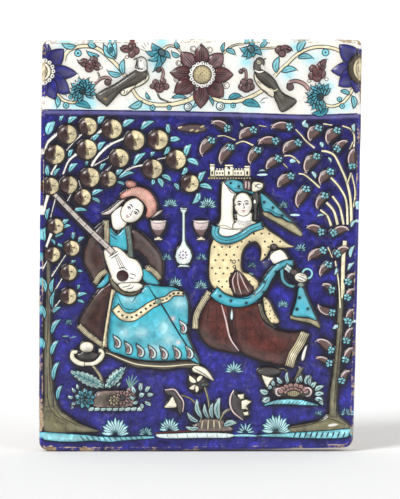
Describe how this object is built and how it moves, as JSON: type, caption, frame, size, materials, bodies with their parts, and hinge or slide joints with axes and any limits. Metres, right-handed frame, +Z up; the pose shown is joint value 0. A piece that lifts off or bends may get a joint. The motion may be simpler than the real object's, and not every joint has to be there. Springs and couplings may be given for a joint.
{
  "type": "moulded ceramic wall tile",
  "caption": "Upright rectangular ceramic wall tile with a moulded and painted garden scene under a flowered border, made to be set in a wall.",
  "frame": {"origin": "centre of the flat back face, where the tile is bedded in the wall", "axes": "+Z up the picture, +X to the picture's right, +Y out of the back into the wall, so that the picture faces -Y"},
  "size_m": [0.2609, 0.0264, 0.3325],
  "materials": {
    "glazed_front": "clear alkaline glaze over underglaze painting in cobalt, turquoise, aubergine and black on a white fritware body; bare and rough at the back"
  },
  "bodies": {
    "root": {"tile": "glazed_front"}
  },
  "joints": []
}
